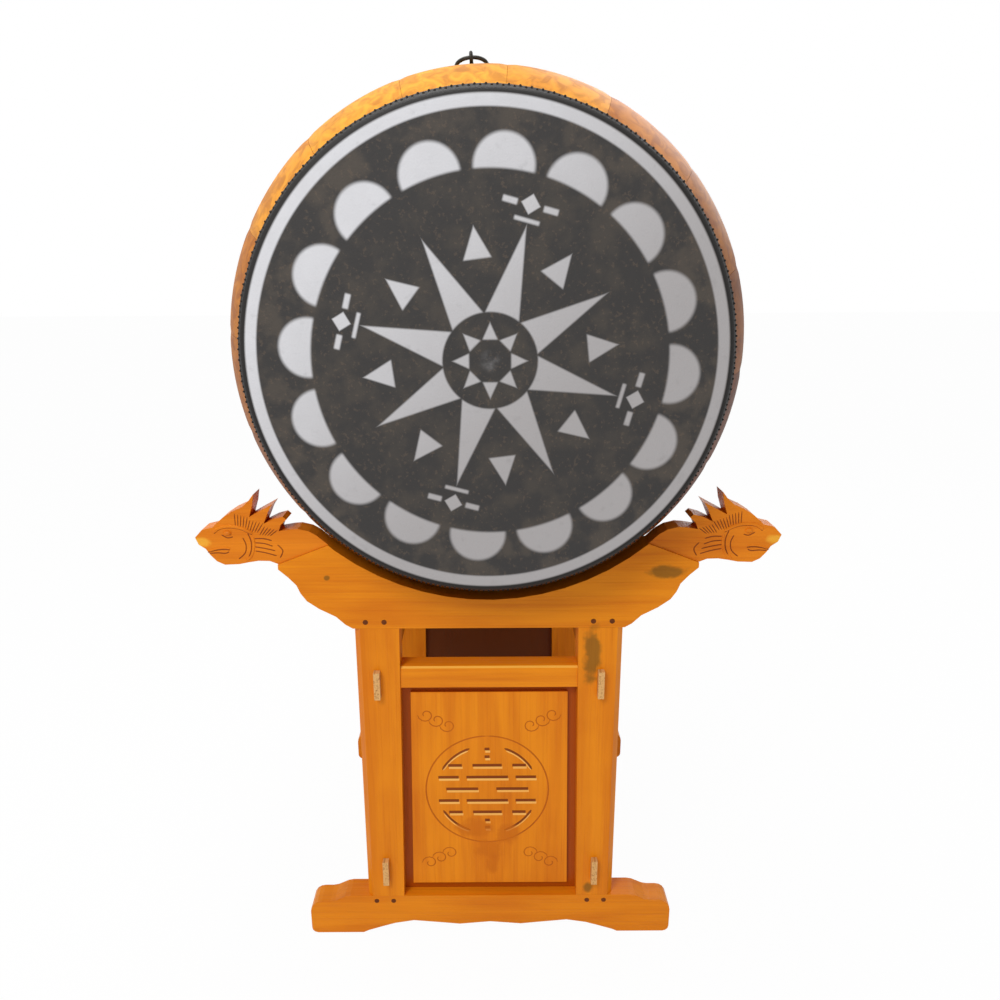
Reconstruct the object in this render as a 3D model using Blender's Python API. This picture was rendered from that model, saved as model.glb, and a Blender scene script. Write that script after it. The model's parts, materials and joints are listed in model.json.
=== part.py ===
"""Temple drum: a stave barrel with two hide heads, lying in a jointed stand with dragon heads.

Metres, +Z up. The origin is on the floor under the middle of the object. The drum's axis runs along Y
and its front head faces -Y. Angles round the drum are measured from its top, clockwise from the front.
"""
import math

import bmesh
import bpy

# Gap kept between pieces that touch
FIT = 0.0003

# Barrel
STAVE_COUNT = 16
STAVE_FACETS = 4
STAVE_THICKNESS = 0.022
STAVE_JOINT_ANGLE = math.radians(4.4)
DRUM_LENGTH = 0.96
BELLY_RADIUS = 0.502
END_RADIUS = 0.396
END_ROUND = 0.008
BARREL_POWER = 2.4
BARREL_STEPS = 3
ROUND_STEPS = 3

# Hide heads
HIDE_THICKNESS = 0.004
HIDE_SKIRT = 0.022

# Hanging eyes and their rings
EYE_SPACING = 0.20
EYE_ANGLE = math.radians(-3.0)
EYE_HEIGHT = 0.0225
EYE_WIRE = 0.0035
EYE_SHANK = 0.004
EYE_STEM = 0.0055
EYE_PLATE_RADIUS = 0.011
EYE_PLATE_THICKNESS = 0.003
EYE_PLATE_LIFT = 0.0006
EYE_CLINCH_RADIUS = 0.009
EYE_CLINCH_THICKNESS = 0.005
EYE_CLINCH_DROP = 0.0012
RING_RADIUS = 0.030
RING_WIRE = 0.0035
RING_PLAY = 0.0008

# Stand frames
FRAME_FACE = 0.360
PLANK = 0.052
BOARD_BOTTOM = 0.718
BOARD_WEB = 0.0583
NOTCH_HALF_ANGLE = math.radians(40.4)
BOARD_SHOULDER = 0.002

# Dragon heads
DRAGON_THICKNESS = 0.044
DRAGON_JOINT = (0.0965, -0.0375)
DRAGON_LIP = 0.0095
DRAGON_TENON_LENGTH = 0.024
DRAGON_TENON_WIDTH = 0.050
DRAGON_TENON_THICKNESS = 0.014

# Legs
LEG_OUTER_TOP = 0.260
LEG_OUTER_BOTTOM = 0.261
LEG_INNER_TOP = 0.173
LEG_INNER_BOTTOM = 0.184
LEG_CHAMFER = 0.011
LEG_TENON_THICKNESS = 0.018
LEG_TENON_INSET = 0.012
LEG_TENON_LENGTH = 0.045

# Foot beams
FOOT_TOP = 0.095
FOOT_OVERHANG = 0.126
FOOT_END_DROP = 0.015
FOOT_STEP_START = 0.039
FOOT_STEP_RUN = 0.045
FOOT_END_ROUND = 0.024
FOOT_TOE_ROUND = 0.013
FOOT_PAD = 0.112

# Cross rails and panels
WINDOW_HEIGHT = 0.083
RAIL_HEIGHT = 0.0455
RAIL_THICKNESS = 0.042
RAIL_RECESS = 0.003
RAIL_ROUND = 0.009
RAIL_TENON_LENGTH = 0.025
RAIL_TENON_THICKNESS = 0.016
RAIL_TENON_INSET = 0.0095
PANEL_LIP_THICKNESS = 0.010
PANEL_LIP_RECESS = 0.026
PANEL_GROOVE = 0.0075
PANEL_MARGIN = 0.0185
PANEL_FIELD_RISE = 0.008

# Side rails
SIDE_RAIL_THICKNESS = 0.040
SIDE_RAIL_HEIGHT = 0.070
SIDE_TENON_THICKNESS = 0.012
SIDE_TENON_HEIGHT = 0.058
SIDE_TENON_PROUD = 0.014
LOWER_RAIL_LIFT = 0.067

# Draw pegs
PEG_RADIUS = 0.005
PEG_SPREAD = 0.036
PEG_SHIFT = 0.003
PEG_SHOULDER = 0.013
PEG_PROUD = 0.0006
PEG_SIDES = 10

# Sizes that follow from the ones above
WOOD_HALF = DRUM_LENGTH / 2 - HIDE_THICKNESS - FIT
BARREL_HALF = WOOD_HALF - END_ROUND
FRAME_INNER = FRAME_FACE - PLANK
FRAME_MIDDLE = FRAME_FACE - PLANK / 2
RAIL_TOP = BOARD_BOTTOM - WINDOW_HEIGHT
RAIL_BOTTOM = RAIL_TOP - RAIL_HEIGHT
FOOT_HALF = LEG_OUTER_BOTTOM + FOOT_OVERHANG
LEG_MIDDLE_X = (LEG_OUTER_TOP + LEG_OUTER_BOTTOM + LEG_INNER_TOP + LEG_INNER_BOTTOM) / 4
EYE_RADIUS = RING_WIRE + RING_PLAY + EYE_WIRE
FACET_COUNT = STAVE_COUNT * STAVE_FACETS

# Lower edge of a cradle board, from its shoulder at the leg up to its tip, as shares of that span
BOARD_WAVE = [
    (0.10, 0.065),
    (0.23, 0.203),
    (0.46, 0.337),
    (0.63, 0.472),
    (0.71, 0.600),
    (0.76, 0.736),
    (0.87, 0.870),
]

# Underside of a foot beam: share of the way to the pad, and height
FOOT_SCALLOPS = [
    (0.000, 0.0270),
    (0.240, 0.0210),
    (0.360, 0.0245),
    (0.600, 0.0310),
    (0.750, 0.0240),
    (0.855, 0.0150),
    (0.964, 0.0050),
    (1.000, 0.0000),
]

# Dragon head, seen from the front at the right: jaw, nose, brow, three horns and neck, measured
# from the corner where the notch meets the glued joint
DRAGON_OUTLINE = [
    (0.1117, -0.0311),
    (0.1327, -0.0306),
    (0.1514, -0.0335),
    (0.1697, -0.0371),
    (0.1967, -0.0381),
    (0.2112, -0.0311),
    (0.2227, -0.0181),
    (0.2297, -0.0066),
    (0.2422, 0.0019),
    (0.2477, 0.0159),
    (0.2337, 0.0309),
    (0.2127, 0.0359),
    (0.2057, 0.0429),
    (0.1927, 0.0544),
    (0.1747, 0.0659),
    (0.1547, 0.0749),
    (0.1427, 0.0854),
    (0.1322, 0.0989),
    (0.1357, 0.0789),
    (0.1432, 0.0554),
    (0.1187, 0.0689),
    (0.0983, 0.0799),
    (0.1065, 0.0672),
    (0.1177, 0.0419),
    (0.0984, 0.0513),
    (0.0812, 0.0559),
    (0.0747, 0.0499),
    (0.0862, 0.0395),
    (0.0907, 0.0274),
    (0.0697, 0.0309),
    (0.0547, 0.0319),
    (0.0347, 0.0269),
    (0.0157, 0.0159),
]


def clear_scene():
    """Take away every object that the scene starts with."""
    for item in list(bpy.data.objects):
        bpy.data.objects.remove(item, do_unlink=True)


def make_material(name, colour, roughness, metallic=0.0):
    """Principled material with one colour."""
    material = bpy.data.materials.new(name)
    material.use_nodes = True
    shader = material.node_tree.nodes["Principled BSDF"]
    shader.inputs["Base Color"].default_value = (*colour, 1.0)
    shader.inputs["Roughness"].default_value = roughness
    shader.inputs["Metallic"].default_value = metallic
    material.diffuse_color = (*colour, 1.0)
    return material


def make_empty(name, parent=None, location=(0, 0, 0), rotation=(0, 0, 0)):
    """Empty that carries pieces, such as a joint's pivot."""
    empty = bpy.data.objects.new(name, None)
    bpy.context.scene.collection.objects.link(empty)
    empty.parent = parent
    empty.location = location
    empty.rotation_euler = rotation
    return empty


def skin(name, rings, closed=False):
    """Closed mesh over a row of equal rings of points, capped at both ends unless the row closes."""
    shape = bmesh.new()
    rows = [[shape.verts.new(point) for point in ring] for ring in rings]
    pairs = list(zip(rows, rows[1:]))
    if closed:
        pairs.append((rows[-1], rows[0]))
    else:
        shape.faces.new(rows[0])
        shape.faces.new(rows[-1])
    for low, high in pairs:
        for here in range(len(low)):
            after = (here + 1) % len(low)
            shape.faces.new((low[here], low[after], high[after], high[here]))
    bmesh.ops.recalc_face_normals(shape, faces=shape.faces)
    mesh = bpy.data.meshes.new(name)
    shape.to_mesh(mesh)
    shape.free()
    return mesh


def add_piece(name, mesh, material, parent, round_piece=False):
    """Put a sub-part in the scene under the empty that carries it."""
    item = bpy.data.objects.new(name, mesh)
    bpy.context.scene.collection.objects.link(item)
    mesh.materials.append(material)
    item.parent = parent
    if round_piece:
        mesh.shade_smooth()
        mesh.set_sharp_from_angle(angle=math.radians(35))
    return item


def add_tool(name, mesh, parent):
    """Put a shape in the scene that only cuts or extends a sub-part."""
    item = bpy.data.objects.new(name, mesh)
    bpy.context.scene.collection.objects.link(item)
    item.parent = parent
    item.hide_render = True
    item.display_type = "WIRE"
    return item


def combine(target, tool, operation):
    """Cut a tool's shape out of a sub-part, or join it on."""
    change = target.modifiers.new(tool.name, "BOOLEAN")
    change.operation = operation
    change.solver = "EXACT"
    change.object = tool


def plank_rings(outline, low_y, high_y):
    """Two rings of one outline in X and Z, at the plank's two faces."""
    return [[(x, y, z) for x, z in outline] for y in (low_y, high_y)]


def block_rings(low, high):
    """Two rings of a box between two corners."""
    outline = [(low[0], low[2]), (high[0], low[2]), (high[0], high[2]), (low[0], high[2])]
    return plank_rings(outline, low[1], high[1])


def arc(centre, radius, start, end, steps):
    """Points of a round stretch in a plane; angles in degrees, anticlockwise from the first axis."""
    points = []
    for step in range(steps + 1):
        angle = math.radians(start + (end - start) * step / steps)
        points.append((centre[0] + radius * math.cos(angle), centre[1] + radius * math.sin(angle)))
    return points


def mix(low, high, share):
    """Value part of the way from low to high."""
    return low + (high - low) * share


# Barrel shape

def barrel_curve(y):
    """Outer radius of the staves' smooth curve at a distance along the drum's axis."""
    return BELLY_RADIUS - (BELLY_RADIUS - END_RADIUS) * abs(y / BARREL_HALF) ** BARREL_POWER


def barrel_stations():
    """Places along half the barrel where its facets meet; one is the cradle's inner edge."""
    inner = [FRAME_INNER * step / BARREL_STEPS for step in range(BARREL_STEPS)]
    outer = [mix(FRAME_INNER, BARREL_HALF, step / BARREL_STEPS) for step in range(BARREL_STEPS + 1)]
    return inner + outer


STATIONS = barrel_stations()


def wood_radius(y):
    """Outer radius of the faceted staves."""
    place = min(abs(y), BARREL_HALF)
    for low, high in zip(STATIONS, STATIONS[1:]):
        if place <= high:
            break
    return mix(barrel_curve(low), barrel_curve(high), (place - low) / (high - low))


NOTCH_RADIUS = wood_radius(FRAME_INNER) + FIT
AXIS_HEIGHT = BOARD_BOTTOM + BOARD_WEB + NOTCH_RADIUS


def facet_angle(step):
    """Angle of one edge between the barrel's flat strips."""
    return STAVE_JOINT_ANGLE + 2 * math.pi * step / FACET_COUNT


def facet_ring(y, radius):
    """Ring of points round the drum's axis, on the edges between the flat strips."""
    ring = []
    for step in range(FACET_COUNT):
        angle = facet_angle(step)
        ring.append((radius * math.sin(angle), y, radius * math.cos(angle)))
    return ring


def end_round(offset):
    """Rounded corner at the barrel's end as (y, radius), from its side to its face, grown by an offset."""
    centre = (BARREL_HALF, END_RADIUS - END_ROUND)
    return arc(centre, END_ROUND + offset, 90, 0, ROUND_STEPS)


def stave_profile():
    """Outline of a stave in (y, radius): outer side from front to rear, inner side back."""
    half = [(y, wood_radius(y)) for y in STATIONS[:-1]] + end_round(0)
    outer = [(-y, radius) for y, radius in reversed(half[1:])] + half
    inside = [(y, wood_radius(y) - STAVE_THICKNESS) for y in STATIONS[:-1]]
    inside.append((WOOD_HALF, END_RADIUS - STAVE_THICKNESS))
    inner = [(-y, radius) for y, radius in reversed(inside[1:])] + inside
    return outer + inner[::-1]


def make_staves(parent, material):
    """Ring of staves; each one's flat edges stay half a gap away from the joint's plane."""
    profile = stave_profile()
    staves = []
    for number in range(STAVE_COUNT):
        rings = []
        for strip in range(STAVE_FACETS + 1):
            angle = facet_angle((number - 1) * STAVE_FACETS + strip)
            side = (strip == 0) - (strip == STAVE_FACETS)
            ring = []
            for y, radius in profile:
                turned = angle + side * FIT / 2 / radius
                ring.append((radius * math.sin(turned), y, radius * math.cos(turned)))
            rings.append(ring)
        name = f"stave_{number + 1:02d}"
        staves.append(add_piece(name, skin(name, rings), material, parent, True))
    return staves


def make_head(name, end, parent, material):
    """Hide over one end of the barrel: a flat face, a rounded rim and a skirt down the side."""
    skirt_end = DRUM_LENGTH / 2 - HIDE_SKIRT
    places = [skirt_end] + [y for y in STATIONS[:-1] if y > skirt_end]
    sheet = FIT + HIDE_THICKNESS
    outer = [(y, wood_radius(y) + sheet) for y in places] + end_round(sheet)
    inner = [(y, wood_radius(y) + FIT) for y in places] + end_round(FIT)
    profile = outer[::-1] + inner
    rings = [facet_ring(end * y, radius) for y, radius in profile]
    return add_piece(name, skin(name, rings), material, parent, True)


# Hanging eyes and rings

def turned_rings(profile, sides):
    """Rings of a piece turned about the Z axis from (radius, z) points."""
    rings = []
    for radius, z in profile:
        ring = []
        for step in range(sides):
            angle = 2 * math.pi * step / sides
            ring.append((radius * math.cos(angle), radius * math.sin(angle), z))
        rings.append(ring)
    return rings


def hoop_rings(radius, wire, steps, sides, centre, plane):
    """Rings round the wire of a hoop; plane gives the two directions that the hoop lies in."""
    across = [0.0, 0.0, 0.0]
    across[3 - plane[0] - plane[1]] = 1.0
    rings = []
    for step in range(steps):
        turn = 2 * math.pi * step / steps
        outward = [0.0, 0.0, 0.0]
        outward[plane[0]] = math.cos(turn)
        outward[plane[1]] = math.sin(turn)
        ring = []
        for side in range(sides):
            angle = 2 * math.pi * side / sides
            reach = radius + wire * math.cos(angle)
            rise = wire * math.sin(angle)
            ring.append([centre[k] + reach * outward[k] + rise * across[k] for k in range(3)])
        rings.append(ring)
    return rings


def wood_slope(y):
    """Slope of the barrel's side under an eye's washer."""
    return (wood_radius(y + EYE_PLATE_RADIUS) - wood_radius(y - EYE_PLATE_RADIUS)) / (2 * EYE_PLATE_RADIUS)


def ring_rest_angle(eye_y):
    """Angle below level at which a ring lies back on the staves behind its eye."""
    angle = 0.0
    for _ in range(6):
        far_y = eye_y + 2 * RING_RADIUS * math.cos(angle)
        drop = wood_radius(eye_y) + EYE_HEIGHT - wood_radius(far_y) - RING_WIRE - FIT
        angle = math.asin(drop / (2 * RING_RADIUS))
    return angle


def make_eye(name, eye_y, stave, parent, material):
    """Iron eye through one stave, with a swinging ring in it."""
    radius = wood_radius(eye_y)
    slope = math.atan(wood_slope(eye_y))
    place = (radius * math.sin(EYE_ANGLE), eye_y, radius * math.cos(EYE_ANGLE))
    seat = make_empty(f"{name}_eye_seat", parent, place, (slope, EYE_ANGLE, 0))
    plate_top = EYE_PLATE_LIFT + EYE_PLATE_THICKNESS
    clinch_top = -STAVE_THICKNESS - EYE_CLINCH_DROP
    clinch_bottom = clinch_top - EYE_CLINCH_THICKNESS
    shank_profile = [
        (EYE_CLINCH_RADIUS, clinch_bottom),
        (EYE_CLINCH_RADIUS, clinch_top),
        (EYE_SHANK, clinch_top),
        (EYE_SHANK, EYE_PLATE_LIFT),
        (EYE_PLATE_RADIUS, EYE_PLATE_LIFT),
        (EYE_PLATE_RADIUS, plate_top),
        (EYE_STEM, plate_top),
        (EYE_WIRE, EYE_HEIGHT - EYE_RADIUS),
    ]
    eye = add_piece(f"{name}_hanging_eye", skin("eye", turned_rings(shank_profile, 12)), material, seat)
    hoop = hoop_rings(EYE_RADIUS, EYE_WIRE, 16, 8, (0, 0, EYE_HEIGHT), (1, 2))
    combine(eye, add_tool(f"{name}_eye_hoop", skin("hoop", hoop, True), seat), "UNION")
    hole = turned_rings([(EYE_SHANK + FIT, clinch_bottom), (EYE_SHANK + FIT, plate_top)], 12)
    combine(stave, add_tool(f"{name}_eye_hole", skin("hole", hole), seat), "DIFFERENCE")

    pivot_turn = (-ring_rest_angle(eye_y) - slope, 0, 0)
    pivot = make_empty(f"{name}_ring_pivot", seat, (0, 0, EYE_HEIGHT), pivot_turn)
    ring = hoop_rings(RING_RADIUS, RING_WIRE, 28, 8, (0, RING_RADIUS, 0), (1, 0))
    add_piece(f"{name}_hanging_ring", skin("ring", ring, True), material, pivot, True)


# Stand frames

def leg_x(top, bottom, z):
    """X of a leg's edge at a height, between its ends."""
    return mix(bottom, top, (z - FOOT_TOP) / (BOARD_BOTTOM - FOOT_TOP))


def leg_inner(z):
    """X of a leg's inner edge at a height."""
    return leg_x(LEG_INNER_TOP, LEG_INNER_BOTTOM, z)


def leg_outer(z):
    """X of a leg's outer edge at a height."""
    return leg_x(LEG_OUTER_TOP, LEG_OUTER_BOTTOM, z)


def mirrored(points, side):
    """Outline for the right side, or its mirror image for the left."""
    return [(side * x, z) for x, z in points]


def notch_corner():
    """Point where a cradle board's notch meets the glued joint of a dragon head, at the right."""
    x = NOTCH_RADIUS * math.sin(NOTCH_HALF_ANGLE)
    return x, AXIS_HEIGHT - NOTCH_RADIUS * math.cos(NOTCH_HALF_ANGLE)


def joint_frame():
    """Glued joint at the right: its upper corner, its direction and the direction up out of the board."""
    length = math.hypot(*DRAGON_JOINT)
    along = (DRAGON_JOINT[0] / length, DRAGON_JOINT[1] / length)
    return notch_corner(), length, along, (-along[1], along[0])


def joint_point(reach, rise):
    """Point at a distance along the glued joint and above it."""
    corner, _, along, up = joint_frame()
    return corner[0] + reach * along[0] + rise * up[0], corner[1] + reach * along[1] + rise * up[1]


def board_outline():
    """Cradle board without its notch, whose cut takes off the straight line between the joints."""
    length = joint_frame()[1]
    upper = joint_point(-DRAGON_LIP, 0)
    lower = joint_point(length, 0)
    tip = (lower[0], lower[1] - DRAGON_LIP)
    shoulder = (LEG_OUTER_TOP + BOARD_SHOULDER, BOARD_BOTTOM)
    wave = [(mix(shoulder[0], tip[0], x), mix(shoulder[1], tip[1], z)) for x, z in BOARD_WAVE]
    right = [shoulder] + wave + [tip, lower, upper]
    return right + mirrored(right[::-1], -1)


def dragon_tenon(grow):
    """Outline of the tenon that holds a dragon head, grown all round."""
    length = joint_frame()[1]
    near = length / 2 - DRAGON_TENON_WIDTH / 2 - grow
    far = length / 2 + DRAGON_TENON_WIDTH / 2 + grow
    depth = -DRAGON_TENON_LENGTH - grow
    rise = DRAGON_LIP
    return [joint_point(near, depth), joint_point(far, depth), joint_point(far, rise), joint_point(near, rise)]


def dragon_outline():
    """Dragon head with its glued edge a gap above the board."""
    corner, length, _, _ = joint_frame()
    shape = [(corner[0] + x, corner[1] + z) for x, z in DRAGON_OUTLINE]
    return [joint_point(-DRAGON_LIP, FIT), joint_point(length, FIT)] + shape


def foot_outline():
    """Foot beam: scalloped underside, rounded ends and a top that steps down towards them."""
    pad_start = FOOT_HALF - FOOT_PAD
    under = [(share * pad_start, z) for share, z in FOOT_SCALLOPS]
    toe = arc((FOOT_HALF - FOOT_TOE_ROUND, FOOT_TOE_ROUND), FOOT_TOE_ROUND, -90, 0, 3)
    end_top = FOOT_TOP - FOOT_END_DROP
    end = arc((FOOT_HALF - FOOT_END_ROUND, end_top - FOOT_END_ROUND), FOOT_END_ROUND, 0, 90, 4)
    step_start = LEG_OUTER_BOTTOM + FOOT_STEP_START
    step = []
    for part in range(5):
        share = part / 4
        rise = (1 - math.cos(math.pi * share)) / 2
        step.append((step_start + FOOT_STEP_RUN * (1 - share), mix(end_top, FOOT_TOP, rise)))
    right = under + toe + end + step
    left = mirrored(right[:0:-1], -1)
    return right + left


def leg_tenon_x(z, grow):
    """Inner and outer X of a leg's tenon, taken from the leg's width at its shoulder."""
    return leg_inner(z) + LEG_TENON_INSET - grow, leg_outer(z) - LEG_TENON_INSET + grow


def frame_y(front, distance):
    """Y of a plane in the front (-1) or rear (+1) frame, at a distance from the object's middle."""
    return front * distance


def block_between(name, x_pair, y_pair, z_pair):
    """Box mesh between pairs of limits given in any order."""
    low = (min(x_pair), min(y_pair), min(z_pair))
    high = (max(x_pair), max(y_pair), max(z_pair))
    return skin(name, block_rings(low, high))


def leg_tenon_mesh(name, side, front, upper, grow):
    """Tenon at a leg's top or bottom, grown all round for its mortise."""
    shoulder = BOARD_BOTTOM if upper else FOOT_TOP
    way = 1 if upper else -1
    inner, outer = leg_tenon_x(shoulder, grow)
    half = LEG_TENON_THICKNESS / 2 + grow
    y_pair = (frame_y(front, FRAME_MIDDLE) - half, frame_y(front, FRAME_MIDDLE) + half)
    z_pair = (shoulder - way * LEG_TENON_LENGTH / 2, shoulder + way * (LEG_TENON_LENGTH + grow - FIT))
    return block_between(name, (side * inner, side * outer), y_pair, z_pair)


def rail_tenon_mesh(name, front, grow):
    """Long tongue through a cross rail whose two ends are its tenons, grown for the mortises."""
    reach = leg_inner(RAIL_TOP - RAIL_HEIGHT / 2) + RAIL_TENON_LENGTH + grow
    half = RAIL_TENON_THICKNESS / 2 + grow
    y_pair = (frame_y(front, FRAME_MIDDLE) - half, frame_y(front, FRAME_MIDDLE) + half)
    z_pair = (RAIL_BOTTOM + RAIL_TENON_INSET - grow, RAIL_TOP - RAIL_TENON_INSET + grow)
    return block_between(name, (-reach, reach), y_pair, z_pair)


def side_tenon_mesh(name, side, centre_z, grow):
    """Long tongue through a side rail whose two ends are its through tenons."""
    reach = FRAME_FACE + SIDE_TENON_PROUD + grow
    half = SIDE_TENON_THICKNESS / 2 + grow
    rise = SIDE_TENON_HEIGHT / 2 + grow
    x_pair = (side * LEG_MIDDLE_X - half, side * LEG_MIDDLE_X + half)
    return block_between(name, x_pair, (-reach, reach), (centre_z - rise, centre_z + rise))


def panel_outline(overlap):
    """Panel edge that runs an overlap into its grooves, or stays short of them if negative."""
    low = FOOT_TOP - overlap
    high = RAIL_BOTTOM + overlap
    low_x = leg_inner(low) + overlap
    high_x = leg_inner(high) + overlap
    return [(-low_x, low), (low_x, low), (high_x, high), (-high_x, high)]


def groove_mesh(name, front):
    """Shape that cuts the panel's grooves into the legs, the cross rail and the foot beam."""
    near = FRAME_FACE - PANEL_LIP_RECESS + FIT
    far = FRAME_FACE - PANEL_LIP_RECESS - PANEL_LIP_THICKNESS - FIT
    return skin(name, plank_rings(panel_outline(PANEL_GROOVE), front * near, front * far))


def peg_places(upper):
    """X and Z of the draw pegs through a leg's tenon, with a word for each."""
    shoulder = BOARD_BOTTOM if upper else FOOT_TOP
    way = 1 if upper else -1
    middle = (leg_inner(shoulder) + leg_outer(shoulder)) / 2 + PEG_SHIFT
    z = shoulder + way * PEG_SHOULDER
    return [("inner", middle - PEG_SPREAD / 2, z), ("outer", middle + PEG_SPREAD / 2, z)]


def peg_mesh(name, x, z, front, grow, proud):
    """Round peg along Y through a frame's plank."""
    outline = arc((x, z), PEG_RADIUS + grow, 0, 360, PEG_SIDES)[:-1]
    return skin(name, plank_rings(outline, front * (FRAME_FACE + proud), front * (FRAME_INNER - proud)))


def make_board(name, front, stand, material):
    """Cradle board of one frame."""
    rings = plank_rings(board_outline(), front * FRAME_FACE, front * FRAME_INNER)
    return add_piece(f"{name}_cradle_board", skin("board", rings), material, stand)


def make_dragon(name, side, front, board, stand, material):
    """Carved dragon head glued to one end of a cradle board, with its tenon."""
    near = front * (FRAME_MIDDLE + DRAGON_THICKNESS / 2)
    far = front * (FRAME_MIDDLE - DRAGON_THICKNESS / 2)
    rings = plank_rings(mirrored(dragon_outline(), side), near, far)
    dragon = add_piece(f"{name}_dragon_head", skin("dragon", rings), material, stand)
    for grow, target, operation in ((0, dragon, "UNION"), (FIT, board, "DIFFERENCE")):
        half = DRAGON_TENON_THICKNESS / 2 + grow
        outline = mirrored(dragon_tenon(grow), side)
        rings = plank_rings(outline, front * FRAME_MIDDLE - half, front * FRAME_MIDDLE + half)
        combine(target, add_tool(f"{name}_dragon_{operation.lower()}", skin("tenon", rings), stand), operation)
    return dragon


def make_leg(name, side, front, stand, material):
    """Tapered leg with a chamfered outer edge, without its tenons and mortises."""
    rings = []
    for z in (FOOT_TOP + FIT, BOARD_BOTTOM - FIT):
        inner = leg_inner(z)
        outer = leg_outer(z)
        section = [
            (inner, FRAME_INNER),
            (inner, FRAME_FACE),
            (outer - LEG_CHAMFER, FRAME_FACE),
            (outer, FRAME_FACE - LEG_CHAMFER),
            (outer, FRAME_INNER),
        ]
        rings.append([(side * x, front * y, z) for x, y in section])
    return add_piece(f"{name}_leg", skin("leg", rings), material, stand)


def make_rail(name, front, stand, material):
    """Cross rail with a rounded upper edge and a tenon at each end."""
    near = FRAME_FACE - RAIL_RECESS
    far = near - RAIL_THICKNESS
    round_edge = arc((near - RAIL_ROUND, RAIL_TOP - RAIL_ROUND), RAIL_ROUND, 0, 90, 3)
    section = [(far, RAIL_BOTTOM), (near, RAIL_BOTTOM)] + round_edge + [(far, RAIL_TOP)]
    rings = []
    for side in (-1, 1):
        rings.append([(side * (leg_inner(z) - FIT), front * y, z) for y, z in section])
    rail = add_piece(f"{name}_cross_rail", skin("rail", rings), material, stand)
    tongue = add_tool(f"{name}_rail_tongue", rail_tenon_mesh("tongue", front, 0), stand)
    combine(rail, tongue, "UNION")
    return rail


def make_panel(name, front, stand, material):
    """Panel with thin lips in the grooves and a raised field in front."""
    back = FRAME_FACE - PANEL_LIP_RECESS - PANEL_LIP_THICKNESS
    lip = FRAME_FACE - PANEL_LIP_RECESS
    field = lip + PANEL_FIELD_RISE
    edge = panel_outline(PANEL_GROOVE - FIT)
    inside = panel_outline(-PANEL_MARGIN)
    rings = []
    for outline, y in ((edge, back), (edge, lip), (inside, lip), (inside, field)):
        rings.append([(x, front * y, z) for x, z in outline])
    return add_piece(f"{name}_panel", skin("panel", rings), material, stand)


def make_foot(name, front, stand, material):
    """Foot beam of one frame."""
    rings = plank_rings(foot_outline(), front * FRAME_FACE, front * FRAME_INNER)
    return add_piece(f"{name}_foot_beam", skin("foot", rings), material, stand)


def make_side_rail(name, side, centre_z, legs, stand, material):
    """Side rail between the two frames, with through tenons that stand proud of the legs."""
    half = SIDE_RAIL_THICKNESS / 2
    x_pair = (side * LEG_MIDDLE_X - half, side * LEG_MIDDLE_X + half)
    reach = FRAME_INNER - FIT
    z_pair = (centre_z - SIDE_RAIL_HEIGHT / 2, centre_z + SIDE_RAIL_HEIGHT / 2)
    body = block_between("side_rail", x_pair, (-reach, reach), z_pair)
    rail = add_piece(name, body, material, stand)
    combine(rail, add_tool(f"{name}_tongue", side_tenon_mesh("tongue", side, centre_z, 0), stand), "UNION")
    mortise = add_tool(f"{name}_mortise", side_tenon_mesh("mortise", side, centre_z, FIT), stand)
    for leg in legs:
        combine(leg, mortise, "DIFFERENCE")


def make_pegs(name, side, front, leg, board, foot, stand, material):
    """Draw pegs of one leg, through its upper tenon and its lower one."""
    for upper, holder, word in ((True, board, "board"), (False, foot, "foot")):
        for place, x, z in peg_places(upper):
            peg_name = f"{name}_{word}_peg_{place}"
            peg = peg_mesh("peg", side * x, z, front, 0, PEG_PROUD)
            add_piece(peg_name, peg, material, stand, True)
            hole = add_tool(f"{peg_name}_hole", peg_mesh("hole", side * x, z, front, FIT, 2 * PEG_PROUD), stand)
            combine(leg, hole, "DIFFERENCE")
            combine(holder, hole, "DIFFERENCE")


def make_frame(name, front, notch, stand, wood, carved, peg_wood):
    """One frame of the stand; returns its legs by side."""
    board = make_board(name, front, stand, wood)
    foot = make_foot(name, front, stand, wood)
    rail = make_rail(name, front, stand, wood)
    make_panel(name, front, stand, wood)
    groove = add_tool(f"{name}_groove", groove_mesh("groove", front), stand)
    mortise = add_tool(f"{name}_rail_mortise", rail_tenon_mesh("mortise", front, FIT), stand)
    combine(rail, groove, "DIFFERENCE")
    combine(foot, groove, "DIFFERENCE")
    legs = {}
    for side, word in ((-1, "left"), (1, "right")):
        label = f"{name}_{word}"
        dragon = make_dragon(label, side, front, board, stand, carved)
        combine(dragon, notch, "DIFFERENCE")
        leg = make_leg(label, side, front, stand, wood)
        for upper, holder, end in ((True, board, "upper"), (False, foot, "lower")):
            tenon = leg_tenon_mesh("tenon", side, front, upper, 0)
            combine(leg, add_tool(f"{label}_{end}_tenon", tenon, stand), "UNION")
            socket = leg_tenon_mesh("socket", side, front, upper, FIT)
            combine(holder, add_tool(f"{label}_{end}_socket", socket, stand), "DIFFERENCE")
        combine(leg, groove, "DIFFERENCE")
        combine(leg, mortise, "DIFFERENCE")
        make_pegs(label, side, front, leg, board, foot, stand, peg_wood)
        legs[side] = leg
    combine(board, notch, "DIFFERENCE")
    return legs


def make_drum(wood, hide, iron):
    """Barrel, heads, eyes and rings, which lift off the stand together."""
    drum = make_empty("drum_axis", None, (0, 0, AXIS_HEIGHT))
    staves = make_staves(drum, wood)
    make_head("front_head", -1, drum, hide)
    make_head("rear_head", 1, drum, hide)
    make_eye("front", -EYE_SPACING / 2, staves[0], drum, iron)
    make_eye("rear", EYE_SPACING / 2, staves[0], drum, iron)


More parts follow.
